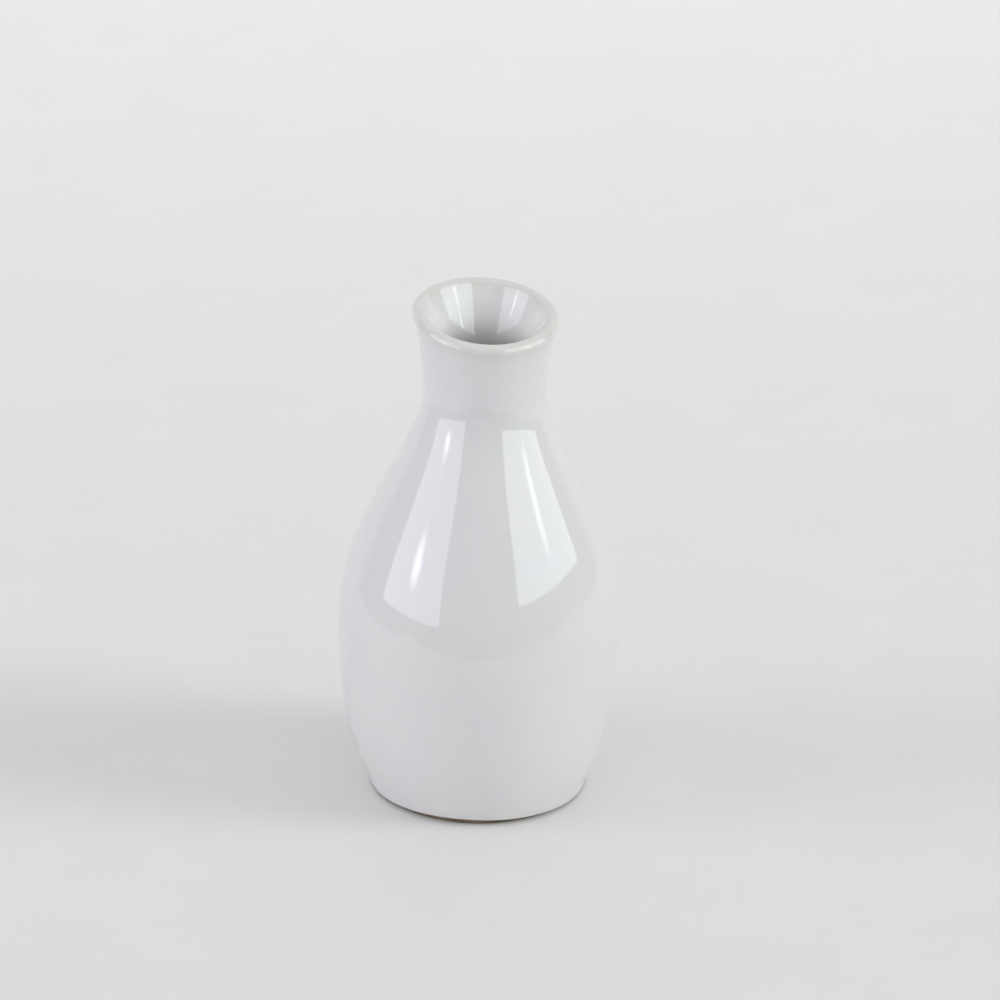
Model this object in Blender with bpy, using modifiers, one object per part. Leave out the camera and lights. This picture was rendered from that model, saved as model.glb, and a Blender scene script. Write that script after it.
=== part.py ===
"""Glazed stoneware bud vase: the fired clay body and the glaze coats that cover it.

Frame: metres, +Z up, origin at the centre of the foot, on the surface that the vase stands on.
The vase is turned about Z, and its front faces -Y. The lip was finished by hand, so the mouth
tips a few degrees out of level. Each coat is a solid of its own, with a small gap to the clay.
"""

import math

import bpy

# Driving dimensions.
HEIGHT = 0.130                # foot to the top of the lip, at the centre of the mouth
FOOT_DIAMETER = 0.0538
BELLY_DIAMETER = 0.0722
BELLY_HEIGHT = 0.0455         # foot to the widest point
NECK_DIAMETER = 0.0308
NECK_BELOW_LIP = 0.0217       # top of the lip down to the narrowest point
MOUTH_DIAMETER = 0.0367       # over the lip
WALL_THICKNESS = 0.0032       # clay, both coats and the gaps between them
THROAT_WALL_THICKNESS = 0.0072    # the same at the neck, where the wall is thickest
THROAT_BELOW_LIP = 0.018      # top of the lip down to the narrowest place inside
PLAIN_WALL_BELOW_LIP = 0.044  # from here down the wall has its plain thickness
FLOOR_HEIGHT = 0.0062         # foot to the bottom of the cavity
CAVITY_CORNER_RADIUS = 0.009  # between the cavity's wall and its floor
FOOT_RING_WIDTH = 0.0042      # bare clay ring that the vase stands on
FOOT_RECESS_DEPTH = 0.0022    # cut into the clay inside the foot ring
GLAZE_THICKNESS = 0.00035
GLAZE_LINE_HEIGHT = 0.0010    # the outer coat stops this far above the foot
FIT_GAP = 0.0003              # between a coat and the clay, and between two coats

# Angles from upright: the lip's outer side, the funnel inside it, and the wall at the foot.
LIP_FLARE = math.radians(25)
MOUTH_FUNNEL = math.radians(31)
FOOT_LEAN = math.radians(20)

# How far each end of a curve holds its direction, as a share of that curve's own rise.
LIP_HOLD = 0.20
NECK_HOLD_ABOVE = 0.22
NECK_HOLD_BELOW = 0.232
BELLY_HOLD_ABOVE = 0.427
BELLY_HOLD_BELOW = 0.62
FOOT_HOLD = 0.135
FUNNEL_HOLD = 0.72
THROAT_HOLD_ABOVE = 0.20
THROAT_HOLD_BELOW = 0.38

# The mouth's slope from level, and the heading of its low side, from +X towards +Y.
MOUTH_TIP = math.radians(6.5)
MOUTH_TIP_HEADING = math.radians(-63)

# Steps along each stretch of the outline, and around the vase.
FLARE_STEPS = 5
SHOULDER_STEPS = 10
BELLY_STEPS = 7
LIP_STEPS = 6
FUNNEL_STEPS = 6
THROAT_STEPS = 5
CORNER_STEPS = 5
TURN_STEPS = 40

# Heights and radii that follow from the driving dimensions.
NECK_HEIGHT = HEIGHT - NECK_BELOW_LIP
LIP_RADIUS = WALL_THICKNESS / 2
LIP_CENTRE = (MOUTH_DIAMETER / 2 - LIP_RADIUS, HEIGHT - LIP_RADIUS)
THROAT_RADIUS = NECK_DIAMETER / 2 - THROAT_WALL_THICKNESS
THROAT_HEIGHT = HEIGHT - THROAT_BELOW_LIP
PLAIN_WALL_HEIGHT = HEIGHT - PLAIN_WALL_BELOW_LIP
COATED = GLAZE_THICKNESS + FIT_GAP

COLLECTION = "ceramic_bud_vase"
SMOOTH_BELOW = math.radians(35)
MERGE_DISTANCE = 0.00001
SLOPE_SPAN = 0.001            # height over which the wall's slope is taken


def curve(start, start_handle, end_handle, end, steps):
    """Cubic curve in the (radius, height) plane: a list of points and outward unit normals."""
    samples = []
    for step in range(steps + 1):
        t = step / steps
        u = 1 - t
        point = [
            u ** 3 * a + 3 * u * u * t * b + 3 * u * t * t * c + t ** 3 * d
            for a, b, c, d in zip(start, start_handle, end_handle, end)
        ]
        slope = [
            u * u * (b - a) + 2 * u * t * (c - b) + t * t * (d - c)
            for a, b, c, d in zip(start, start_handle, end_handle, end)
        ]
        length = math.hypot(*slope)
        samples.append((point, (-slope[1] / length, slope[0] / length)))
    return samples


def outline():
    """The outer surface from the lip down to the foot, carried on past the foot in a line."""
    lip = (
        LIP_CENTRE[0] + LIP_RADIUS * math.cos(LIP_FLARE),
        LIP_CENTRE[1] - LIP_RADIUS * math.sin(LIP_FLARE),
    )
    neck = (NECK_DIAMETER / 2, NECK_HEIGHT)
    belly = (BELLY_DIAMETER / 2, BELLY_HEIGHT)
    foot = (FOOT_DIAMETER / 2, 0.0)
    flare_rise = lip[1] - neck[1]
    shoulder_rise = neck[1] - belly[1]
    lip_hold = LIP_HOLD * flare_rise
    foot_hold = FOOT_HOLD * BELLY_HEIGHT
    flare = curve(
        lip,
        (lip[0] - lip_hold * math.sin(LIP_FLARE), lip[1] - lip_hold * math.cos(LIP_FLARE)),
        (neck[0], neck[1] + NECK_HOLD_ABOVE * flare_rise),
        neck,
        FLARE_STEPS,
    )
    shoulder = curve(
        neck,
        (neck[0], neck[1] - NECK_HOLD_BELOW * shoulder_rise),
        (belly[0], belly[1] + BELLY_HOLD_ABOVE * shoulder_rise),
        belly,
        SHOULDER_STEPS,
    )
    lower = curve(
        belly,
        (belly[0], belly[1] - BELLY_HOLD_BELOW * BELLY_HEIGHT),
        (foot[0] + foot_hold * math.sin(FOOT_LEAN), foot_hold * math.cos(FOOT_LEAN)),
        foot,
        BELLY_STEPS,
    )
    past_foot = (
        foot[0] - WALL_THICKNESS * math.sin(FOOT_LEAN),
        -WALL_THICKNESS * math.cos(FOOT_LEAN),
    )
    return flare + shoulder[1:] + lower[1:] + [(past_foot, lower[-1][1])]


def inset(depth):
    """The outline moved into the wall by a depth, top to bottom."""
    return [(p[0] - n[0] * depth, p[1] - n[1] * depth) for p, n in outline()]


def mix(start, end, share):
    """The point a share of the way from one (radius, height) pair to another."""
    return tuple(a + share * (b - a) for a, b in zip(start, end))


def at_height(points, height):
    """The point where a line that runs downwards crosses a height."""
    for upper, lower in zip(points, points[1:]):
        if upper[1] >= height >= lower[1]:
            return mix(upper, lower, (upper[1] - height) / (upper[1] - lower[1]))
    return points[0] if height > points[0][1] else points[-1]


def between(points, low, high):
    """The stretch of a downward line between two heights, ending exactly on each."""
    inner = [p for p in points if low < p[1] < high]
    return [at_height(points, high)] + inner + [at_height(points, low)]


def arc(centre, radius, start, end, steps):
    """Points on an arc between two angles, in radians from +radius towards +height."""
    angles = [start + (end - start) * step / steps for step in range(steps + 1)]
    return [
        (centre[0] + radius * math.cos(a), centre[1] + radius * math.sin(a)) for a in angles
    ]


def lip_round(depth):
    """The rounded lip from its outer side over the top to its inner side."""
    return arc(LIP_CENTRE, LIP_RADIUS - depth, -LIP_FLARE, math.pi - MOUTH_FUNNEL, LIP_STEPS)


def throat(wall, depth):
    """From the lip's inner side down a funnel to the throat, and out again to the plain wall."""
    reach = LIP_RADIUS - depth
    start = (
        LIP_CENTRE[0] - reach * math.cos(MOUTH_FUNNEL),
        LIP_CENTRE[1] + reach * math.sin(MOUTH_FUNNEL),
    )
    waist = (THROAT_RADIUS + depth, THROAT_HEIGHT)
    rise = start[1] - waist[1]
    funnel = curve(
        start,
        (
            start[0] - FUNNEL_HOLD * rise * math.sin(MOUTH_FUNNEL),
            start[1] - FUNNEL_HOLD * rise * math.cos(MOUTH_FUNNEL),
        ),
        (waist[0], waist[1] + THROAT_HOLD_ABOVE * rise),
        waist,
        FUNNEL_STEPS,
    )
    end = at_height(wall, PLAIN_WALL_HEIGHT)
    below = at_height(wall, PLAIN_WALL_HEIGHT - SLOPE_SPAN)
    drop = waist[1] - end[1]
    end_hold = THROAT_HOLD_BELOW * drop
    widening = curve(
        waist,
        (waist[0], waist[1] - end_hold),
        (end[0] - end_hold * (below[0] - end[0]) / SLOPE_SPAN, end[1] + end_hold),
        end,
        THROAT_STEPS,
    )
    return [point for point, normal in funnel + widening[1:]]


def cavity(depth, top=None):
    """A surface a depth behind the cavity's own, from its top down the wall to the axis."""
    normals = [sample[1] for sample in outline()]
    centres = inset(WALL_THICKNESS + CAVITY_CORNER_RADIUS)
    height = FLOOR_HEIGHT + CAVITY_CORNER_RADIUS
    last = max(i for i, p in enumerate(centres) if p[1] > height)
    share = (centres[last][1] - height) / (centres[last][1] - centres[last + 1][1])
    normal = mix(normals[last], normals[last + 1], share)
    corner = arc(
        mix(centres[last], centres[last + 1], share),
        CAVITY_CORNER_RADIUS + depth,
        math.atan2(normal[1], normal[0]),
        -math.pi / 2,
        CORNER_STEPS,
    )
    wall = inset(WALL_THICKNESS - depth)[: last + 1]
    plain = [p for p in wall if p[1] < PLAIN_WALL_HEIGHT - MERGE_DISTANCE]
    wall = throat(wall, depth) + plain
    if top is not None:
        wall = [at_height(wall, top)] + [p for p in wall if p[1] < top]
    return wall + corner + [(0.0, FLOOR_HEIGHT - depth)]


def turned(name, profile, closed=False):
    """Turn a (radius, height) profile about Z, then tip its mouth."""
    mesh = bpy.data.meshes.new(name)
    edges = [(i, i + 1) for i in range(len(profile) - 1)]
    if closed:
        edges.append((len(profile) - 1, 0))
    mesh.from_pydata([(r, 0.0, z) for r, z in profile], edges, [])
    piece = bpy.data.objects.new(name, mesh)
    bpy.data.collections[COLLECTION].objects.link(piece)
    turn = piece.modifiers.new("turn", "SCREW")
    turn.axis = "Z"
    turn.steps = TURN_STEPS
    turn.render_steps = TURN_STEPS
    turn.use_merge_vertices = True
    turn.merge_threshold = MERGE_DISTANCE
    bpy.context.view_layer.objects.active = piece
    bpy.ops.object.modifier_apply(modifier=turn.name)
    tip_mouth(piece.data)
    piece.data.shade_smooth()
    piece.data.set_sharp_from_angle(angle=SMOOTH_BELOW)
    return piece


def tip_mouth(mesh):
    """Slope everything above the neck, more and more up to the lip, and leave the rest as is."""
    slope = math.tan(MOUTH_TIP)
    towards = (math.cos(MOUTH_TIP_HEADING), math.sin(MOUTH_TIP_HEADING))
    for vertex in mesh.vertices:
        share = (vertex.co.z - NECK_HEIGHT) / (LIP_CENTRE[1] - NECK_HEIGHT)
        share = min(max(share, 0.0), 1.0)
        share = share * share * (3 - 2 * share)
        forward = vertex.co.x * towards[0] + vertex.co.y * towards[1]
        vertex.co.z -= share * slope * forward


def finish(name, colour, roughness):
    """A ceramic surface: base colour in linear light, and roughness."""
    material = bpy.data.materials.new(name)
    material.use_nodes = True
    shader = material.node_tree.nodes["Principled BSDF"]
    shader.inputs["Base Color"].default_value = (*colour, 1.0)
    shader.inputs["Roughness"].default_value = roughness
    shader.inputs["Metallic"].default_value = 0.0
    material.diffuse_color = (*colour, 1.0)
    return material


def foot_ring():
    """The outer and the inner radius of the bare clay ring, where it meets the ground."""
    outer = at_height(inset(COATED), 0.0)[0]
    return outer, outer - FOOT_RING_WIDTH


def clay_body():
    """The fired stoneware: floor, wall, rounded lip and the bare ring that it stands on."""
    ring_inner = foot_ring()[1]
    inner_side = cavity(COATED)[::-1]
    lip = lip_round(COATED)[::-1]
    outer_side = between(inset(COATED), 0.0, inset(COATED)[0][1])
    foot = [(ring_inner, 0.0), (ring_inner, FOOT_RECESS_DEPTH), (0.0, FOOT_RECESS_DEPTH)]
    piece = turned("clay_body", inner_side[:-1] + lip + outer_side[1:] + foot)
    piece.data.materials.append(finish("stoneware", (0.50, 0.40, 0.29), 0.85))
    return piece


def outer_glaze():
    """The coat on the outside: over the lip, down the body, to just above the foot."""
    face = inset(0.0)
    back = inset(GLAZE_THICKNESS)
    outside = lip_round(0.0)[::-1] + between(face, GLAZE_LINE_HEIGHT, face[0][1])[1:]
    inside = lip_round(GLAZE_THICKNESS)[::-1] + between(back, GLAZE_LINE_HEIGHT, back[0][1])[1:]
    piece = turned("outer_glaze", outside + inside[::-1], closed=True)
    piece.data.materials.append(finish("white_glaze", (0.74, 0.75, 0.77), 0.12))
    return piece


def liner_glaze():
    """The coat poured inside: from the lip's inner side down the wall and over the floor."""
    seam = lip_round(GLAZE_THICKNESS)[-1][1] - FIT_GAP
    face = cavity(0.0, seam)
    back = cavity(GLAZE_THICKNESS, seam)
    piece = turned("liner_glaze", face[::-1] + back)
    piece.data.materials.append(finish("liner_white_glaze", (0.72, 0.73, 0.74), 0.14))
    return piece


def base_glaze():
    """The thin coat on the underside, inside the foot ring."""
    radius = foot_ring()[1] - FIT_GAP
    top = FOOT_RECESS_DEPTH - FIT_GAP
    bottom = top - GLAZE_THICKNESS
    piece = turned("base_glaze", [(0.0, top), (radius, top), (radius, bottom), (0.0, bottom)])
    piece.data.materials.append(finish("base_white_glaze", (0.72, 0.73, 0.73), 0.20))
    return piece


def main():
    for old in list(bpy.data.objects):
        bpy.data.objects.remove(old, do_unlink=True)
    bpy.context.scene.collection.children.link(bpy.data.collections.new(COLLECTION))
    origin = bpy.data.objects.new("vase_origin", None)
    bpy.data.collections[COLLECTION].objects.link(origin)
    for piece in (clay_body(), outer_glaze(), liner_glaze(), base_glaze()):
        piece.parent = origin


main()
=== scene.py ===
"""The looks of a small glazed stoneware bud vase, in a plain, pale studio.

Metres, +Z up, the vase's front faces -Y. Four pieces stand for the four CAD solids: the fired
clay, the coat outside, the coat poured inside and the coat under the base.
"""

import math

import bpy
from mathutils import Matrix, Vector

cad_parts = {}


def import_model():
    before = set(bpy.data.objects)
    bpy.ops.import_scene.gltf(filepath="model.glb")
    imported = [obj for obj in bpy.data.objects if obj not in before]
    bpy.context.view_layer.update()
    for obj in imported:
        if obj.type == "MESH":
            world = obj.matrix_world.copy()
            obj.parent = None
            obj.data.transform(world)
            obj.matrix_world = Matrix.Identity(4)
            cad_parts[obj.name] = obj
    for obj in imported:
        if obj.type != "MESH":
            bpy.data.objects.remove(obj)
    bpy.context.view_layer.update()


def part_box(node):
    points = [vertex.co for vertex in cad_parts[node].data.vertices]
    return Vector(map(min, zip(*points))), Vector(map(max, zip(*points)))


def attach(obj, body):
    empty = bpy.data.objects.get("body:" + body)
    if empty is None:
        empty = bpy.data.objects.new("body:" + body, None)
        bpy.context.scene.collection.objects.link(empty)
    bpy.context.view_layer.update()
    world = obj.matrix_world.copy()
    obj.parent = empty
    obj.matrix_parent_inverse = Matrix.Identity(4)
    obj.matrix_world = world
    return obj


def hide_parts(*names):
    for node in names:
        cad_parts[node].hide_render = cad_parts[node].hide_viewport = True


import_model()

MM = 0.001

# ---------------------------------------------------------------- sizes tied to the frame

COAT = 0.35 * MM             # thickness of the fired glaze
CAD_GAP = 0.3 * MM           # between the clay and a coat, as CAD solids

coat_low, coat_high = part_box("outer_glaze")
liner_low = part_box("liner_glaze")[0]
base_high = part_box("base_glaze")[1]

BELLY_RADIUS = (coat_high.x - coat_low.x) / 2
GLAZE_LINE = coat_low.z
FLOOR_HEIGHT = liner_low.z + COAT
RECESS_ROOF = base_high.z + CAD_GAP
RECESS_RADIUS = base_high.x + CAD_GAP

# ---------------------------------------------------------------- the turned outline

HEIGHT = 130 * MM            # at the middle of the mouth
FOOT_RADIUS = 26.9 * MM
BELLY_HEIGHT = 45.5 * MM
NECK_RADIUS = 15.4 * MM
NECK_HEIGHT = 108.3 * MM
MOUTH_RADIUS = 18.35 * MM    # over the lip
WALL = 3.2 * MM              # clay and both coats
LIP_FLARE = math.radians(25)
FOOT_LEAN = math.radians(20)
CORNER_RADIUS = 9 * MM       # inside, between wall and floor
MOUTH_FUNNEL = math.radians(31)   # the inner side of the lip leans out at this angle
THROAT_RADIUS = 8.2 * MM     # the narrowest place inside, where the neck's wall is thickest
THROAT_HEIGHT = 112 * MM
THROAT_END = 86 * MM         # below this the wall has its plain thickness
RING_WIDTH = 4.2 * MM        # bare clay that the vase stands on

# How far each end of a curve holds its direction, as a share of the curve's rise.
LIP_HOLD = 0.20
NECK_HOLD_ABOVE = 0.22
NECK_HOLD_BELOW = 0.232
BELLY_HOLD_ABOVE = 0.427
BELLY_HOLD_BELOW = 0.62
FOOT_HOLD = 0.135
FUNNEL_HOLD = 0.72
THROAT_HOLD_ABOVE = 0.20
THROAT_HOLD_BELOW = 0.38

LIP_RADIUS = WALL / 2
LIP_CENTRE = (MOUTH_RADIUS - LIP_RADIUS, HEIGHT - LIP_RADIUS)

BEDDING = 0.04 * MM          # clay to the back of a coat
EDGE_ROUND = 0.35 * MM       # worn edges of the clay ring

# The outer coat's lower edge. It swells to a bead and hangs in two sags, on the left and right.
BEAD = 0.12 * MM             # how much it swells
BEAD_FADE = 3.5 * MM         # over this height
BEAD_FLATNESS = 0.8          # the bead's round end, height to width
EDGE_LIFT = 0.30 * MM        # above the CAD's edge, at the front and back
EDGE_SAG = 0.57 * MM         # half of how much lower it hangs at the sides
EDGE_WAVE = 0.06 * MM
EDGE_RIPPLE = 0.04 * MM
EDGE_FADE = 2.5 * MM         # these reach this far up

# The coat under the base, which is wiped thin.
WIPED_COAT = 0.8 * COAT
BARE_RIM = 1.1 * MM          # between its edge and the ring
RIM_WAVE = 0.5 * MM
RIM_RIPPLE = 0.3 * MM
WIPE_MARK = 0.03 * MM        # depth of the sponge's rings
WIPE_PITCH = 1.7 * MM

# Where the coats run thin, and where painted shade darkens the liner deep in the throat: the
# distances over which that fades.
LIP_THIN = 1.8 * MM
EDGE_THIN = 1.3 * MM
LIP_FLANKS = 0.75            # how thin the coat is there, against 1 on the lip's crest
LAST_EDGE = 0.6              # and at its last edge
THROAT_SHADE_START = 6.5 * MM        # below the middle of the mouth
THROAT_SHADE_FADE = 9 * MM

# The mouth was finished by hand: its slope, and the heading of its low side from +X towards +Y.
MOUTH_TIP = math.radians(6.5)
MOUTH_TIP_HEADING = math.radians(-63)
FRONT_DIP = 0.85 * MM        # and its front sags by this much more

# The wall strays from a true circle: the height of each kind of wave.
OVAL = 0.10 * MM
LOBES = 0.05 * MM
WAVER = 0.028 * MM
RIPPLE = 0.014 * MM
THROWING_RINGS = 0.012 * MM
LEAN = 0.38 * MM             # the wall above the foot stands this much to the left
LEAN_HEIGHT = 22 * MM
LEAN_SPREAD = 13 * MM
WAVES_START = 6 * MM         # the waves fade out from here down to the foot

# How finely the pieces are drawn: points along a curve or an arc, and steps round the axis.
FLARE_STEPS = 16
SHOULDER_STEPS = 44
LOWER_STEPS = 36
FUNNEL_STEPS = 22
WIDENING_STEPS = 14
CORNER_STEPS = 12
FLOOR_RINGS = 6
LIP_STEPS = 36
HIDDEN_LIP_STEPS = 8
BEAD_STEPS = 8
EDGE_STEPS = 6
SOLE_STEPS = 5
CROWN_STEPS = 12
HIDDEN = 0.4                 # share of those points on faces that nobody sees
TURN_STEPS = 160
SMOOTH_UP_TO = math.radians(50)
MERGE = 0.004 * MM


def curve(start, start_handle, end_handle, end, steps):
    """Cubic curve in the (radius, height) plane, with its outward unit normals."""
    samples = []
    for step in range(steps + 1):
        t = step / steps
        u = 1 - t
        point = [
            u ** 3 * a + 3 * u * u * t * b + 3 * u * t * t * c + t ** 3 * d
            for a, b, c, d in zip(start, start_handle, end_handle, end)
        ]
        slope = [
            u * u * (b - a) + 2 * u * t * (c - b) + t * t * (d - c)
            for a, b, c, d in zip(start, start_handle, end_handle, end)
        ]
        length = math.hypot(*slope)
        samples.append((point, (-slope[1] / length, slope[0] / length)))
    return samples


def outline(fine=1.0):
    """The outside from the lip down to the foot. fine scales how many points it has."""
    lip = (
        LIP_CENTRE[0] + LIP_RADIUS * math.cos(LIP_FLARE),
        LIP_CENTRE[1] - LIP_RADIUS * math.sin(LIP_FLARE),
    )
    neck = (NECK_RADIUS, NECK_HEIGHT)
    belly = (BELLY_RADIUS, BELLY_HEIGHT)
    foot = (FOOT_RADIUS, 0.0)
    flare_rise = lip[1] - neck[1]
    shoulder_rise = neck[1] - belly[1]
    lip_hold = LIP_HOLD * flare_rise
    foot_hold = FOOT_HOLD * BELLY_HEIGHT
    flare = curve(
        lip,
        (lip[0] - lip_hold * math.sin(LIP_FLARE), lip[1] - lip_hold * math.cos(LIP_FLARE)),
        (neck[0], neck[1] + NECK_HOLD_ABOVE * flare_rise),
        neck,
        round(FLARE_STEPS * fine),
    )
    shoulder = curve(
        neck,
        (neck[0], neck[1] - NECK_HOLD_BELOW * shoulder_rise),
        (belly[0], belly[1] + BELLY_HOLD_ABOVE * shoulder_rise),
        belly,
        round(SHOULDER_STEPS * fine),
    )
    lower = curve(
        belly,
        (belly[0], belly[1] - BELLY_HOLD_BELOW * BELLY_HEIGHT),
        (foot[0] + foot_hold * math.sin(FOOT_LEAN), foot_hold * math.cos(FOOT_LEAN)),
        foot,
        round(LOWER_STEPS * fine),
    )
    past_foot = (foot[0] - WALL * math.sin(FOOT_LEAN), -WALL * math.cos(FOOT_LEAN))
    return flare + shoulder[1:] + lower[1:] + [(past_foot, lower[-1][1])]


def inset(depth, fine=1.0):
    """The outline moved into the wall by a depth, top to bottom."""
    return [(p[0] - n[0] * depth, p[1] - n[1] * depth) for p, n in outline(fine)]


def mix(start, end, share):
    """The point a share of the way from one (radius, height) pair to another."""
    return tuple(a + share * (b - a) for a, b in zip(start, end))


def at_height(points, height):
    """The point where a line that runs downwards crosses a height."""
    for upper, lower in zip(points, points[1:]):
        if upper[1] >= height >= lower[1]:
            return mix(upper, lower, (upper[1] - height) / (upper[1] - lower[1]))
    return points[0] if height > points[0][1] else points[-1]


def above(points, height):
    """The part of a downward line above a height, ending exactly on it."""
    return [p for p in points if p[1] > height + MERGE] + [at_height(points, height)]


def arc(centre, radius, start, end, steps):
    """Points on an arc between two angles, in radians from +radius towards +height."""
    angles = [start + (end - start) * step / steps for step in range(steps + 1)]
    return [
        (centre[0] + radius * math.cos(a), centre[1] + radius * math.sin(a)) for a in angles
    ]


def lip_round(depth, steps):
    """The rounded lip, from its inner side over the top to its outer side."""
    return arc(LIP_CENTRE, LIP_RADIUS - depth, math.pi - MOUTH_FUNNEL, -LIP_FLARE, steps)


def throat(wall, depth):
    """From the inner side of the lip down a funnel to the throat, and out to the wall again."""
    lean = (math.sin(MOUTH_FUNNEL), math.cos(MOUTH_FUNNEL))
    reach = LIP_RADIUS - depth
    start = (LIP_CENTRE[0] - reach * lean[1], LIP_CENTRE[1] + reach * lean[0])
    waist = (THROAT_RADIUS + depth, THROAT_HEIGHT)
    rise = start[1] - waist[1]
    funnel = curve(
        start,
        (start[0] - FUNNEL_HOLD * rise * lean[0], start[1] - FUNNEL_HOLD * rise * lean[1]),
        (waist[0], waist[1] + THROAT_HOLD_ABOVE * rise),
        waist,
        FUNNEL_STEPS,
    )
    end = at_height(wall, THROAT_END)
    after = at_height(wall, THROAT_END - MM)
    slope = ((end[0] - after[0]) / MM, 1.0)
    drop = waist[1] - end[1]
    widening = curve(
        waist,
        (waist[0], waist[1] - THROAT_HOLD_BELOW * drop),
        (
            end[0] + THROAT_HOLD_BELOW * drop * slope[0],
            end[1] + THROAT_HOLD_BELOW * drop * slope[1],
        ),
        end,
        WIDENING_STEPS,
    )
    return [sample[0] for sample in funnel + widening[1:]]


def cavity(depth, fine=1.0):
    """A surface a depth behind the cavity's own, from the lip down the wall to the axis."""
    normals = [sample[1] for sample in outline(fine)]
    centres = inset(WALL + CORNER_RADIUS, fine)
    height = FLOOR_HEIGHT + CORNER_RADIUS
    last = max(i for i, p in enumerate(centres) if p[1] > height)
    share = (centres[last][1] - height) / (centres[last][1] - centres[last + 1][1])
    normal = mix(normals[last], normals[last + 1], share)
    corner = arc(
        mix(centres[last], centres[last + 1], share),
        CORNER_RADIUS + depth,
        math.atan2(normal[1], normal[0]),
        -math.pi / 2,
        CORNER_STEPS,
    )
    floor_rings = [
        (corner[-1][0] * (1 - step / FLOOR_RINGS), FLOOR_HEIGHT - depth)
        for step in range(1, FLOOR_RINGS + 1)
    ]
    wall = inset(WALL - depth, fine)[: last + 1]
    below = [p for p in wall if p[1] < THROAT_END - MERGE]
    return throat(wall, depth) + below + corner + floor_rings


# ---------------------------------------------------------------- making the pieces


def turned(name, profile, closed=False):
    """Draw a (radius, height) profile by extruding a point along it, and spin it round Z."""
    first = profile[0]
    bpy.ops.object.select_all(action="DESELECT")
    bpy.ops.mesh.primitive_plane_add(size=MM, location=(0, 0, 0))
    piece = bpy.context.object
    piece.name = name
    piece.data.name = name
    bpy.ops.object.mode_set(mode="EDIT")
    bpy.ops.mesh.merge(type="CENTER")
    bpy.ops.transform.translate(value=(first[0], 0, first[1]))
    stops = profile[1:] + ([first] if closed else [])
    place = first
    for stop in stops:
        move = (stop[0] - place[0], 0, stop[1] - place[1])
        bpy.ops.mesh.extrude_region_move(TRANSFORM_OT_translate={"value": move})
        place = stop
    bpy.ops.mesh.select_all(action="SELECT")
    bpy.ops.mesh.spin(steps=TURN_STEPS, angle=math.tau, center=(0, 0, 0), axis=(0, 0, 1))
    bpy.ops.mesh.select_all(action="SELECT")
    bpy.ops.mesh.remove_doubles(threshold=MERGE)
    bpy.ops.mesh.normals_make_consistent(inside=False)
    bpy.ops.object.mode_set(mode="OBJECT")
    bpy.ops.object.shade_smooth_by_angle(angle=SMOOTH_UP_TO)
    return piece


def smoothstep(value):
    """From 0 at 0 or less to 1 at 1 or more, with a soft start and end."""
    value = min(max(value, 0.0), 1.0)
    return value * value * (3 - 2 * value)


def hand_waves(x, y, z):
    """How far the hand-finished wall stands out from a true circle at a place.

    Each wave has its own count of crests round the vase, pitch up the wall, and start.
    """
    angle = math.atan2(y, x)
    oval = OVAL * math.cos(2 * angle + 0.9)
    lobes = LOBES * math.cos(3 * angle - 1.7 + 24 * z)
    waver = WAVER * math.cos(5 * angle + 95 * z) * math.sin(150 * z + 0.6)
    ripple = RIPPLE * math.sin(9 * angle - 160 * z + 2.0)
    rings = THROWING_RINGS * math.sin(420 * z + math.cos(angle))
    lean = -LEAN * math.cos(angle) * math.exp(-(((z - LEAN_HEIGHT) / LEAN_SPREAD) ** 2))
    return oval + lobes + waver + ripple + rings + lean


def shape_by_hand(piece):
    """Give a turned piece its slight waves, and tip its mouth."""
    slope = math.tan(MOUTH_TIP)
    towards = (math.cos(MOUTH_TIP_HEADING), math.sin(MOUTH_TIP_HEADING))
    for vertex in piece.data.vertices:
        x, y, z = vertex.co
        radius = math.hypot(x, y)
        if radius > MERGE:
            grown = 1 + hand_waves(x, y, z) * smoothstep(z / WAVES_START) / BELLY_RADIUS
            vertex.co.x *= grown
            vertex.co.y *= grown
        rise = smoothstep((z - NECK_HEIGHT) / (LIP_CENTRE[1] - NECK_HEIGHT))
        dip = FRONT_DIP * max(-y / max(radius, MERGE), 0.0) ** 1.5
        vertex.co.z -= rise * (slope * (x * towards[0] + y * towards[1]) + dip)


def note_thinness(piece):
    """Store how thin the glaze runs: 1 on the crest of the lip, less at its edge, else 0."""
    thin = piece.data.attributes.new("glaze_thin", "FLOAT", "POINT")
    for vertex in piece.data.vertices:
        radius = math.hypot(vertex.co.x, vertex.co.y)
        from_lip = math.hypot(radius - LIP_CENTRE[0], vertex.co.z - LIP_CENTRE[1])
        crest = 1 - smoothstep((from_lip - LIP_RADIUS) / LIP_THIN)
        if vertex.co.z < LIP_CENTRE[1] - 0.5 * MM:
            crest *= LIP_FLANKS
        edge = 1 - smoothstep((vertex.co.z - GLAZE_LINE) / EDGE_THIN)
        thin.data[vertex.index].value = max(crest, LAST_EDGE * edge)


def note_throat_shade(piece):
    """Store painted shade for the liner deep in the throat: 0 near the lip, 1 at the throat and
    below.
    """
    throat_shade = piece.data.attributes.new("throat_painted_shade", "FLOAT", "POINT")
    for vertex in piece.data.vertices:
        below = HEIGHT - THROAT_SHADE_START - vertex.co.z
        throat_shade.data[vertex.index].value = smoothstep(below / THROAT_SHADE_FADE)


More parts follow.
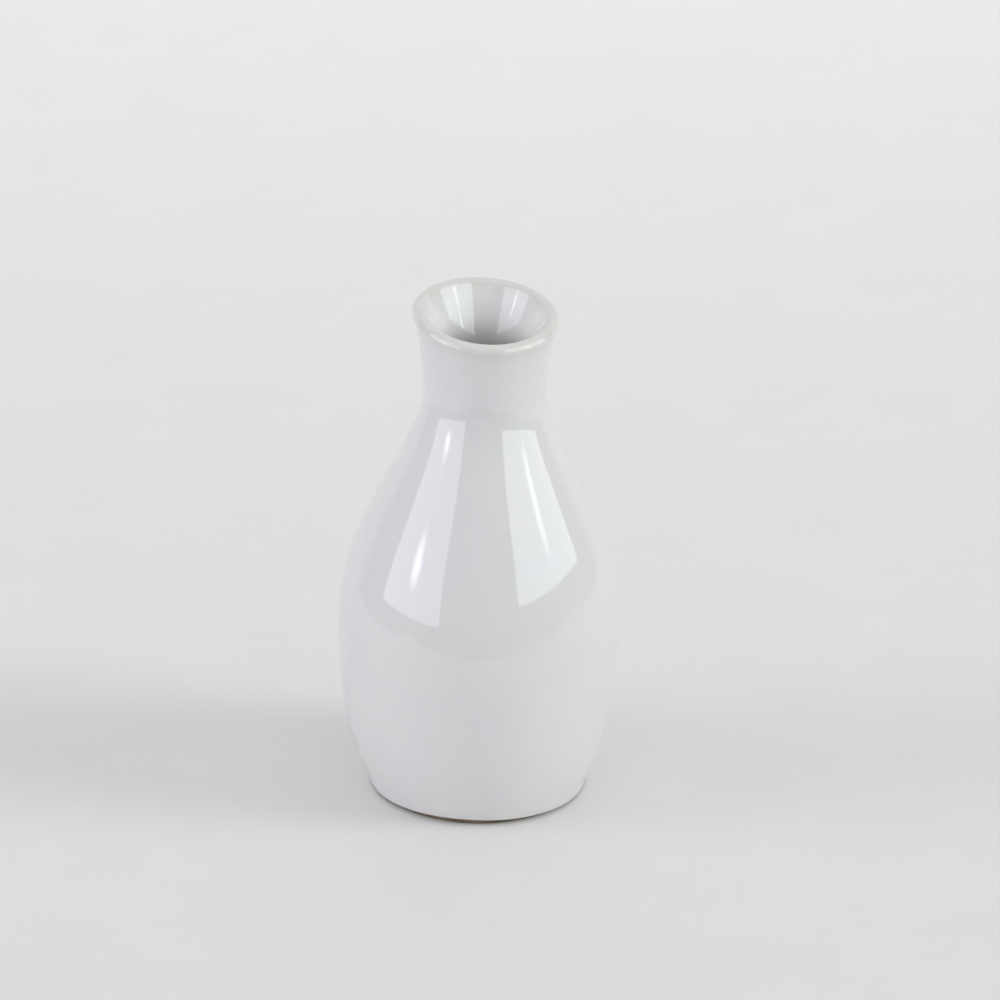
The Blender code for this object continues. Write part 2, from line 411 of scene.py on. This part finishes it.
def outer_coat():
    """The coat over the lip and down the outside, ending in a rounded bead above the foot."""
    end_height = GLAZE_LINE + COAT / 2
    outside = lip_round(0.0, LIP_STEPS)[:-1] + above(inset(0.0), end_height)
    back = lip_round(COAT, HIDDEN_LIP_STEPS)[:-1] + above(inset(COAT, HIDDEN), end_height)
    swollen = []
    for point in outside:
        swell = BEAD * (1 - smoothstep((point[1] - GLAZE_LINE) / BEAD_FADE))
        swollen.append((point[0] + swell, point[1]))
    tip = swollen[-1]
    heel = back[-1]
    middle = mix(tip, heel, 0.5)
    half = (tip[0] - heel[0]) / 2
    bead = arc((middle[0], end_height), half, 0, -math.pi, BEAD_STEPS)
    bead = [(r, end_height + (z - end_height) * BEAD_FLATNESS) for r, z in bead]
    profile = swollen[:-1] + bead + back[::-1][1:]
    piece = turned("outer_glaze_coat", profile, closed=True)
    note_thinness(piece)
    for vertex in piece.data.vertices:
        angle = math.atan2(vertex.co.y, vertex.co.x)
        waver = EDGE_WAVE * math.cos(3 * angle + 0.4) + EDGE_RIPPLE * math.sin(7 * angle + 1.1)
        sagged = EDGE_LIFT - EDGE_SAG * (1 + math.cos(2 * angle + 0.16))
        near = 1 - smoothstep((vertex.co.z - GLAZE_LINE) / EDGE_FADE)
        vertex.co.z += (waver + sagged) * near
    shape_by_hand(piece)
    return piece


def liner_coat():
    """The coat poured inside, from the inner side of the lip down over the floor."""
    piece = turned("liner_glaze_coat", cavity(0.0)[::-1] + cavity(COAT, HIDDEN))
    note_thinness(piece)
    note_throat_shade(piece)
    shape_by_hand(piece)
    return piece


def clay():
    """The fired stoneware under the coats, with worn edges on the ring that it stands on."""
    depth = COAT + BEDDING
    ring_outer = at_height(inset(depth), 0.0)[0]
    ring_inner = ring_outer - RING_WIDTH
    bare_top = 2.2 * MM
    inner_side = cavity(depth, fine=0.5)[::-1]
    lip = lip_round(depth, HIDDEN_LIP_STEPS)
    outer_side = above(inset(depth, fine=0.6), bare_top + 0.2 * MM)
    bare = [p for p in above(inset(depth, fine=3.0), EDGE_ROUND) if p[1] < bare_top]
    heel_middle = (ring_outer - EDGE_ROUND, EDGE_ROUND)
    heel = arc(heel_middle, EDGE_ROUND, 0, -math.pi / 2, EDGE_STEPS)
    toe_middle = (ring_inner + EDGE_ROUND, EDGE_ROUND)
    toe = arc(toe_middle, EDGE_ROUND, -math.pi / 2, -math.pi, EDGE_STEPS)
    sole = [
        mix((heel_middle[0], 0.0), (toe_middle[0], 0.0), step / SOLE_STEPS)
        for step in range(1, SOLE_STEPS)
    ]
    roof = [
        (ring_inner, RECESS_ROOF - EDGE_ROUND),
        (ring_inner - EDGE_ROUND, RECESS_ROOF),
        (ring_inner / 2, RECESS_ROOF),
        (0.0, RECESS_ROOF),
    ]
    profile = inner_side + lip[1:-1] + outer_side + bare + heel[1:] + sole + toe + roof
    piece = turned("stoneware_body", profile)
    shape_by_hand(piece)
    return piece


def base_coat():
    """The thin coat wiped into the recess under the vase, with a soft, uneven edge."""
    top = RECESS_ROOF - BEDDING
    rim = RECESS_RADIUS - BARE_RIM
    half = WIPED_COAT / 2
    crown = [(rim * step / CROWN_STEPS, top - WIPED_COAT) for step in range(CROWN_STEPS + 1)]
    edge = arc((rim, top - half), half, -math.pi / 2, math.pi / 2, EDGE_STEPS)
    back = [(rim * step / 4, top) for step in range(3, -1, -1)]
    piece = turned("base_glaze_coat", crown[:-1] + edge + back)
    note_thinness(piece)
    for vertex in piece.data.vertices:
        radius = math.hypot(vertex.co.x, vertex.co.y)
        angle = math.atan2(vertex.co.y, vertex.co.x)
        waver = RIM_WAVE * math.cos(4 * angle + 0.3) + RIM_RIPPLE * math.sin(9 * angle)
        near = smoothstep(radius / rim)
        if radius > MERGE:
            vertex.co.x *= 1 + waver * near / rim
            vertex.co.y *= 1 + waver * near / rim
        vertex.co.z -= WIPE_MARK * math.sin(radius / WIPE_PITCH)
    return piece


# ---------------------------------------------------------------- finishes

# Widths of the patterns, as far as they repeat.
POOLS = 22 * MM              # where the melt gathered
STREAKS = 3 * MM             # where it ran thin over an edge
ORANGE_PEEL = 4 * MM
PEEL_DEPTH = 0.008 * MM
PINHOLE_CELLS = 9 * MM       # one pinhole at most in each
GROG_GRAIN = 0.5 * MM
GROG_RELIEF = 0.08 * MM
TOASTED_PATCHES = 8 * MM
PAPER_FIBRE = 30 * MM

POOLED_TINT = (0.965, 0.975, 0.99, 1)   # a pool is this much greyer and cooler than the rest


def linear(text):
    """An sRGB hex colour as linear red, green, blue and alpha."""
    channels = [int(text[i:i + 2], 16) / 255 for i in (1, 3, 5)]
    return [c / 12.92 if c <= 0.04045 else ((c + 0.055) / 1.055) ** 2.4 for c in channels] + [1]


def add(owner, kind, values=None, links=None, **settings):
    """Add a node to a material, a light or the world.

    settings are its properties, values its sockets by name or number, links what feeds them.
    """
    tree = owner.node_tree
    node = tree.nodes.new(kind)
    for name, value in settings.items():
        setattr(node, name, value)
    for name, value in (values or {}).items():
        node.inputs[name].default_value = value
    for name, source in (links or {}).items():
        tree.links.new(source, node.inputs[name])
    return node


def finish(name, colour, roughness, ior=1.5):
    """A new material with one Principled shader, which is returned with it."""
    material = bpy.data.materials.new(name)
    material.use_nodes = True
    shader = material.node_tree.nodes["Principled BSDF"]
    shader.inputs["Base Color"].default_value = colour
    shader.inputs["Roughness"].default_value = roughness
    shader.inputs["IOR"].default_value = ior
    return material, shader


def gloss_glaze(name, thick, thin, soft):
    """A poured and fired glossy glaze, IOR 1.52, with no brush marks and no crazing.

    The melt levels itself, so it is a mirror with a faint orange peel. It is a shade cooler where
    it pooled, buff where it ran thin over an edge, darkened deep in the throat by painted shade,
    and has rare pinholes. thick and thin are its colours, and soft its roughness.
    """
    material, shader = finish(name, linear(thick), soft, ior=1.52)
    tree = material.node_tree
    place = add(material, "ShaderNodeTexCoord").outputs["Object"]
    pooled = add(
        material,
        "ShaderNodeTexNoise",
        {"Scale": 1 / POOLS, "Detail": 3.0, "Roughness": 0.55},
        {"Vector": place},
    )
    shade = add(
        material,
        "ShaderNodeMapRange",
        {"From Min": 0.3, "From Max": 0.7, "To Min": 0.0, "To Max": 1.0},
        {"Value": pooled.outputs["Fac"]},
    )
    cooler = [colour * tint for colour, tint in zip(linear(thick), POOLED_TINT)]
    white = add(
        material,
        "ShaderNodeMix",
        {"A": linear(thick), "B": cooler},
        {"Factor": shade.outputs["Result"]},
        data_type="RGBA",
    )
    ran_thin = add(material, "ShaderNodeAttribute", attribute_name="glaze_thin")
    streaks = add(
        material,
        "ShaderNodeTexNoise",
        {"Scale": 1 / STREAKS, "Detail": 4.0},
        {"Vector": place},
    )
    patchy = add(
        material,
        "ShaderNodeMapRange",
        {"From Min": 0.35, "From Max": 0.7, "To Min": 0.45, "To Max": 1.0},
        {"Value": streaks.outputs["Fac"]},
    )
    thinness = add(
        material,
        "ShaderNodeMath",
        links={0: ran_thin.outputs["Fac"], 1: patchy.outputs["Result"]},
        operation="MULTIPLY",
    )
    warmed = add(
        material,
        "ShaderNodeMix",
        {"B": linear(thin)},
        {"Factor": thinness.outputs["Value"], "A": white.outputs["Result"]},
        data_type="RGBA",
    )
    cells = add(
        material,
        "ShaderNodeTexVoronoi",
        {"Scale": 1 / PINHOLE_CELLS, "Randomness": 1.0},
        {"Vector": place},
    )
    dot = add(
        material,
        "ShaderNodeMapRange",
        {"From Min": 0.020, "From Max": 0.034, "To Min": 1.0, "To Max": 0.0},
        {"Value": cells.outputs["Distance"]},
    )
    rare = add(material, "ShaderNodeSeparateColor", links={"Color": cells.outputs["Color"]})
    chosen = add(
        material,
        "ShaderNodeMath",
        {1: 0.72},
        {0: rare.outputs["Red"]},
        operation="GREATER_THAN",
    )
    pinhole = add(
        material,
        "ShaderNodeMath",
        links={0: dot.outputs["Result"], 1: chosen.outputs["Value"]},
        operation="MULTIPLY",
    )
    faint = add(
        material,
        "ShaderNodeMath",
        {1: 0.5},
        {0: pinhole.outputs["Value"]},
        operation="MULTIPLY",
    )
    specked = add(
        material,
        "ShaderNodeMix",
        {"B": linear("#8A8072")},
        {"Factor": faint.outputs["Value"], "A": warmed.outputs["Result"]},
        data_type="RGBA",
    )
    # Painted shade: the liner's colour is mixed towards grey deep in the throat, where little
    # light reaches.
    throat_shade = add(material, "ShaderNodeAttribute", attribute_name="throat_painted_shade")
    painted_shade = add(
        material,
        "ShaderNodeMix",
        {"B": linear("#A3A19D")},
        {"Factor": throat_shade.outputs["Fac"], "A": specked.outputs["Result"]},
        data_type="RGBA",
    )
    tree.links.new(painted_shade.outputs["Result"], shader.inputs["Base Color"])
    sheen = add(
        material,
        "ShaderNodeMapRange",
        {"From Min": 0.3, "From Max": 0.7, "To Min": soft * 0.8, "To Max": soft * 1.25},
        {"Value": pooled.outputs["Fac"]},
    )
    tree.links.new(sheen.outputs["Result"], shader.inputs["Roughness"])
    peel = add(
        material,
        "ShaderNodeTexNoise",
        {"Scale": 1 / ORANGE_PEEL, "Detail": 1.0, "Roughness": 0.4},
        {"Vector": place},
    )
    pits = add(
        material,
        "ShaderNodeMath",
        {1: -0.6},
        {0: pinhole.outputs["Value"], 2: peel.outputs["Fac"]},
        operation="MULTIPLY_ADD",
    )
    bump = add(
        material,
        "ShaderNodeBump",
        {"Strength": 1.0, "Distance": PEEL_DEPTH},
        {"Height": pits.outputs["Value"]},
    )
    tree.links.new(bump.outputs["Normal"], shader.inputs["Normal"])
    return material


def bare_stoneware():
    """Unglazed fired stoneware, turned and wiped with a sponge: matt, with sand grains.

    Grog grains darken and lift the surface, and iron gives it toasted patches.
    """
    material, shader = finish("bare_fired_stoneware", linear("#94826C"), 0.88)
    tree = material.node_tree
    place = add(material, "ShaderNodeTexCoord").outputs["Object"]
    grains = add(
        material,
        "ShaderNodeTexNoise",
        {"Scale": 1 / GROG_GRAIN, "Detail": 6.0, "Roughness": 0.7},
        {"Vector": place},
    )
    toast = add(
        material,
        "ShaderNodeTexNoise",
        {"Scale": 1 / TOASTED_PATCHES, "Detail": 3.0},
        {"Vector": place},
    )
    patches = add(material, "ShaderNodeValToRGB", links={"Fac": toast.outputs["Fac"]})
    patches.color_ramp.elements[0].position = 0.35
    patches.color_ramp.elements[0].color = linear("#6C5B48")
    patches.color_ramp.elements[1].position = 0.65
    patches.color_ramp.elements[1].color = linear("#94826C")
    speckle = add(material, "ShaderNodeValToRGB", links={"Fac": grains.outputs["Fac"]})
    speckle.color_ramp.elements[0].position = 0.36
    speckle.color_ramp.elements[0].color = linear("#9A8F86")
    speckle.color_ramp.elements[1].position = 0.52
    speckle.color_ramp.elements[1].color = linear("#FFFFFF")
    body = add(
        material,
        "ShaderNodeMix",
        {"Factor": 0.8},
        {"A": patches.outputs["Color"], "B": speckle.outputs["Color"]},
        data_type="RGBA",
        blend_type="MULTIPLY",
    )
    tree.links.new(body.outputs["Result"], shader.inputs["Base Color"])
    bump = add(
        material,
        "ShaderNodeBump",
        {"Strength": 0.8, "Distance": GROG_RELIEF},
        {"Height": grains.outputs["Fac"]},
    )
    tree.links.new(bump.outputs["Normal"], shader.inputs["Normal"])
    return material


# ---------------------------------------------------------------- the studio

FLOOR_RADIUS = 7.0
FLOOR_DROP = 0.30 * MM       # the floor and the sheet on it lie just under the vase
TABLE_DROP = 0.02 * MM
TABLE_LEFT = -300 * MM
TABLE_RIGHT = 650 * MM
TABLE_FRONT = -215 * MM
TABLE_BACK = 900 * MM


def floor_paper():
    """Matt studio paper: no sheen, and a hardly visible fibre."""
    material, shader = finish("matt_white_paper", linear("#E6E6E6"), 0.9)
    shader.inputs["Specular IOR Level"].default_value = 0.0
    tree = material.node_tree
    place = add(material, "ShaderNodeTexCoord").outputs["Object"]
    fibre = add(
        material,
        "ShaderNodeTexNoise",
        {"Scale": 1 / PAPER_FIBRE, "Detail": 8.0, "Roughness": 0.6},
        {"Vector": place},
    )
    tone = add(material, "ShaderNodeValToRGB", links={"Fac": fibre.outputs["Fac"]})
    tone.color_ramp.elements[0].position = 0.3
    tone.color_ramp.elements[0].color = linear("#E5E5E5")
    tone.color_ramp.elements[1].position = 0.7
    tone.color_ramp.elements[1].color = linear("#E7E7E7")
    tree.links.new(tone.outputs["Color"], shader.inputs["Base Color"])
    return material


def floor(paper):
    """A wide floor, and on it the sheet's own patch, which is all that gloss reflects.

    They are returned as a collection, for a light that falls on them only.
    """
    bpy.ops.object.select_all(action="DESELECT")
    bpy.ops.mesh.primitive_circle_add(vertices=96, radius=FLOOR_RADIUS, fill_type="NGON")
    wide = bpy.context.object
    wide.name = "studio_floor"
    wide.location.z = -FLOOR_DROP
    wide.visible_glossy = False
    wide.data.materials.append(paper)
    middle = ((TABLE_LEFT + TABLE_RIGHT) / 2, (TABLE_FRONT + TABLE_BACK) / 2)
    bpy.ops.object.select_all(action="DESELECT")
    bpy.ops.mesh.primitive_plane_add(size=1, location=(middle[0], middle[1], -TABLE_DROP))
    sheet = bpy.context.object
    sheet.name = "studio_table"
    sheet.scale = (TABLE_RIGHT - TABLE_LEFT, TABLE_BACK - TABLE_FRONT, 1)
    bpy.ops.object.transform_apply(location=True, rotation=True, scale=True)
    sheet.visible_camera = False
    sheet.visible_diffuse = False
    sheet.visible_shadow = False
    sheet.data.materials.append(paper)
    lit = bpy.data.collections.new("lit_paper")
    lit.objects.link(wide)
    lit.objects.link(sheet)
    return lit


def soft_sun(name, heading, elevation, width, strength, tint, receivers=None):
    """A broad, far light, such as a window gives: its directions and width are in degrees.

    With receivers, a collection, it falls on these pieces only, and everything shades it.
    """
    turn = math.radians(heading)
    rise = math.radians(elevation)
    towards = Vector(
        (math.sin(turn) * math.cos(rise), -math.cos(turn) * math.cos(rise), math.sin(rise))
    )
    light = bpy.data.lights.new(name, "SUN")
    light.energy = strength
    light.angle = math.radians(width)
    light.color = linear(tint)[:3]
    lamp = bpy.data.objects.new(name, light)
    bpy.context.scene.collection.objects.link(lamp)
    lamp.location = towards
    lamp.rotation_mode = "QUATERNION"
    lamp.rotation_quaternion = (-towards).to_track_quat("-Z", "Y")
    lamp.visible_camera = False
    lamp.visible_glossy = False
    if receivers:
        lamp.light_linking.receiver_collection = receivers


def soft_panel(name, heading, distance, left, right, low, high, radiance, tint, lamps, roll):
    """An upright rectangular light that faces the vase, and is seen in its gloss only.

    heading is in degrees from the front towards +X; left and right are along the panel, and low
    and high are heights, in metres. radiance is its brightness. Each lamp behind its cloth is
    (across, height, half width, half height, gain). roll is in degrees, about the way it faces.
    """
    turn = math.radians(heading)
    outward = Vector((math.sin(turn), -math.cos(turn), 0))
    along = Vector((math.cos(turn), math.sin(turn), 0))
    light = bpy.data.lights.new(name, "AREA")
    light.shape = "RECTANGLE"
    light.size = right - left
    light.size_y = high - low
    light.color = linear(tint)[:3]
    light.energy = radiance * math.pi * light.size * light.size_y
    panel = bpy.data.objects.new(name, light)
    bpy.context.scene.collection.objects.link(panel)
    panel.location = outward * distance + along * (left + right) / 2
    panel.location.z = (low + high) / 2
    panel.rotation_mode = "QUATERNION"
    turned_in_plane = Matrix.Rotation(math.radians(roll), 4, outward).to_quaternion()
    panel.rotation_quaternion = turned_in_plane @ (-outward).to_track_quat("-Z", "Y")
    panel.visible_camera = False
    panel.visible_diffuse = False
    light.use_nodes = True
    tree = light.node_tree
    place = add(light, "ShaderNodeNewGeometry").outputs["Parametric"]
    strength = None
    for across, height, half_width, half_height, gain in lamps:
        middle = ((across - left) / light.size, (height - low) / light.size_y, 0)
        size = (light.size / half_width, light.size_y / half_height, 0)
        shift = add(light, "ShaderNodeVectorMath", {1: middle}, {0: place}, operation="SUBTRACT")
        spread = add(
            light, "ShaderNodeVectorMath", {1: size}, {0: shift.outputs[0]}, operation="MULTIPLY"
        )
        away = add(
            light, "ShaderNodeVectorMath", links={0: spread.outputs[0]}, operation="LENGTH"
        )
        glow = add(
            light,
            "ShaderNodeMapRange",
            {"From Min": 0.0, "From Max": 1.0, "To Min": gain, "To Max": 1.0},
            {"Value": away.outputs["Value"]},
            interpolation_type="SMOOTHERSTEP",
        ).outputs["Result"]
        if strength is None:
            strength = glow
        else:
            both = add(light, "ShaderNodeMath", links={0: strength, 1: glow}, operation="MULTIPLY")
            strength = both.outputs["Value"]
    tree.links.new(strength, tree.nodes["Emission"].inputs["Strength"])


def ceiling_lamp(name, across, behind, height, width, depth, radiance, tint):
    """A rectangular light that faces straight down, to even out the floor behind the vase."""
    light = bpy.data.lights.new(name, "AREA")
    light.shape = "RECTANGLE"
    light.size = width
    light.size_y = depth
    light.color = linear(tint)[:3]
    light.energy = radiance * math.pi * width * depth
    lamp = bpy.data.objects.new(name, light)
    bpy.context.scene.collection.objects.link(lamp)
    lamp.location = (across, behind, height)
    lamp.visible_camera = False
    lamp.visible_glossy = False


# Brightness of the room's soft light, from the front and from behind, and of what gloss mirrors.
ROOM_FRONT = 0.775
ROOM_BEHIND = 0.61
MIRRORED_FRONT = 0.10
MIRRORED_BEHIND = 0.74
MIRRORED_CEILING = 0.65


def world():
    """A pale room: a bright ceiling, a white wall behind, and the unlit room in front."""
    sky = bpy.data.worlds.new("pale_studio")
    bpy.context.scene.world = sky
    sky.use_nodes = True
    tree = sky.node_tree
    backdrop = tree.nodes["Background"]
    backdrop.inputs["Color"].default_value = linear("#DFDEDE")
    direction = add(sky, "ShaderNodeTexCoord").outputs["Generated"]
    parts = add(sky, "ShaderNodeSeparateXYZ", links={0: direction})
    # Reflections: the wall behind starts at about 120 degrees from the front.
    behind = add(
        sky,
        "ShaderNodeMapRange",
        {"From Min": 0.42, "From Max": 0.56, "To Min": MIRRORED_FRONT, "To Max": MIRRORED_BEHIND},
        {"Value": parts.outputs["Y"]},
    )
    ceiling = add(
        sky,
        "ShaderNodeMapRange",
        {"From Min": 0.5, "From Max": 0.75, "To Min": 0.0, "To Max": MIRRORED_CEILING},
        {"Value": parts.outputs["Z"]},
    )
    seen = add(
        sky,
        "ShaderNodeMath",
        links={0: behind.outputs["Result"], 1: ceiling.outputs["Result"]},
        operation="MAXIMUM",
    )
    mirrored = add(sky, "ShaderNodeBackground", links={"Strength": seen.outputs["Value"]})
    mirrored.inputs["Color"].default_value = linear("#FFFEFD")
    room = add(
        sky,
        "ShaderNodeMapRange",
        {"From Min": -0.9, "From Max": 0.9, "To Min": ROOM_FRONT, "To Max": ROOM_BEHIND},
        {"Value": parts.outputs["Y"]},
        interpolation_type="SMOOTHSTEP",
    )
    ambient = add(sky, "ShaderNodeBackground", links={"Strength": room.outputs["Result"]})
    ambient.inputs["Color"].default_value = linear("#FFFFFF")
    rays = add(sky, "ShaderNodeLightPath")
    for_gloss = add(
        sky,
        "ShaderNodeMixShader",
        links={0: rays.outputs["Is Glossy Ray"], 1: ambient.outputs[0], 2: mirrored.outputs[0]},
    )
    for_camera = add(
        sky,
        "ShaderNodeMixShader",
        links={0: rays.outputs["Is Camera Ray"], 1: for_gloss.outputs[0], 2: backdrop.outputs[0]},
    )
    tree.links.new(for_camera.outputs[0], tree.nodes["World Output"].inputs["Surface"])


CAMERA_RISE = math.radians(24.5)
CAMERA_DISTANCE = 1.69
CAMERA_LENS = 240.0
CAMERA_ROLL = math.radians(1.05)
AIM = Vector((0, 0, HEIGHT / 2))
AIM_RIGHT = 4.7 * MM         # the middle of the picture lies this far off the vase's middle
AIM_UP = 11.9 * MM


def camera():
    """A long lens, a little above the vase and a hair out of level."""
    back = Vector((0, -math.cos(CAMERA_RISE), math.sin(CAMERA_RISE)))
    level = Vector((1, 0, 0))
    rising = back.cross(level)
    right = level * math.cos(CAMERA_ROLL) + rising * math.sin(CAMERA_ROLL)
    up = rising * math.cos(CAMERA_ROLL) - level * math.sin(CAMERA_ROLL)
    place = AIM + back * CAMERA_DISTANCE
    target = AIM + right * AIM_RIGHT + up * AIM_UP
    back = (place - target).normalized()
    right = up.cross(back).normalized()
    up = back.cross(right)
    lens = bpy.data.cameras.new("studio_camera")
    lens.lens = CAMERA_LENS
    lens.sensor_width = 36
    lens.clip_start = 0.05
    lens.clip_end = 30
    eye = bpy.data.objects.new("studio_camera", lens)
    bpy.context.scene.collection.objects.link(eye)
    eye.matrix_world = Matrix.Translation(place) @ Matrix((right, up, back)).transposed().to_4x4()
    bpy.context.scene.camera = eye


# ---------------------------------------------------------------- putting it together


def hand_over(piece, node, material):
    """Dress a piece, and let it ride and stand for its CAD node."""
    piece.data.materials.append(material)
    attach(piece, "root")
    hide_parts(node)


hand_over(clay(), "clay_body", bare_stoneware())
hand_over(
    outer_coat(),
    "outer_glaze",
    gloss_glaze("glossy_white_glaze", "#E4E4E5", "#DEDCD8", 0.06),
)
hand_over(
    liner_coat(),
    "liner_glaze",
    gloss_glaze("glossy_liner_glaze", "#EDEDED", "#E0DEDA", 0.06),
)
hand_over(
    base_coat(),
    "base_glaze",
    gloss_glaze("wiped_base_glaze", "#D4D4D2", "#C8BBA8", 0.16),
)

lit_paper = floor(floor_paper())
world()
soft_panel(
    "left_panel",
    heading=-60,
    distance=400 * MM,
    left=-190 * MM,
    right=205 * MM,
    low=43 * MM,
    high=455 * MM,
    radiance=2.6,
    tint="#F2F1FF",
    lamps=[
        (2 * MM, 168 * MM, 46 * MM, 78 * MM, 4.2),
        (2 * MM, 350 * MM, 30 * MM, 62 * MM, 3.4),
    ],
    roll=1.0,
)
soft_panel(
    "right_panel",
    heading=65,
    distance=300 * MM,
    left=-200 * MM,
    right=175 * MM,
    low=104 * MM,
    high=425 * MM,
    radiance=3.1,
    tint="#F6FFFF",
    lamps=[
        (2 * MM, 205 * MM, 28 * MM, 90 * MM, 2.6),
        (2 * MM, 312 * MM, 26 * MM, 75 * MM, 2.7),
    ],
    roll=-2.0,
)
soft_sun("left_window", heading=-80, elevation=22, width=32, strength=0.60, tint="#F6F2FF")
soft_sun("right_window", heading=82, elevation=22, width=24, strength=0.80, tint="#FBFFFC")
soft_sun(
    "right_floor_light",
    heading=82,
    elevation=26,
    width=26,
    strength=0.28,
    tint="#FFFFFF",
    receivers=lit_paper,
)
ceiling_lamp(
    "back_fill",
    across=0,
    behind=780 * MM,
    height=500 * MM,
    width=1200 * MM,
    depth=400 * MM,
    radiance=0.60,
    tint="#FFFCFC",
)
camera()
bpy.context.scene.view_settings.view_transform = "Standard"

bpy.context.view_layer.update()
